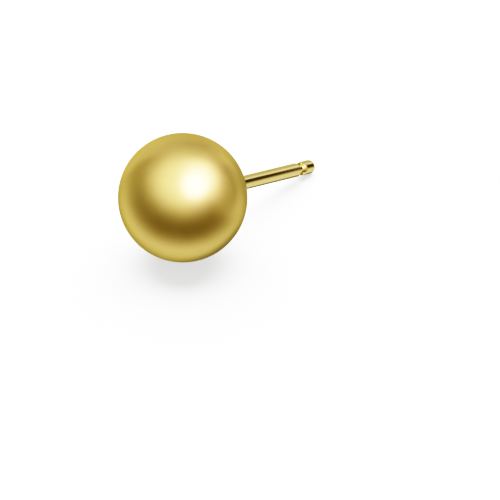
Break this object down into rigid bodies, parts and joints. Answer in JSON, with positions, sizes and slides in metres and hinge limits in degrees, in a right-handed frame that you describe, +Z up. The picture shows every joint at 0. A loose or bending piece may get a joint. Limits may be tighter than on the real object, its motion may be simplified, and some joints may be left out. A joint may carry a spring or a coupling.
{
  "type": "ball stud earring",
  "caption": "Round satin gold ball on a straight polished wire post with a snap notch and a rounded tip.",
  "frame": {"origin": "on the surface that the stud lies on, below the middle of its whole length and in its plane of symmetry", "axes": "+Z up from that surface, +Y from the ball towards the tip of the post, +X to the side"},
  "size_m": [0.008, 0.017, 0.008],
  "materials": {
    "satin_gold": "satin",
    "polished_gold": "polished"
  },
  "bodies": {
    "root": {"ball": "satin_gold", "post": "polished_gold"}
  },
  "joints": []
}
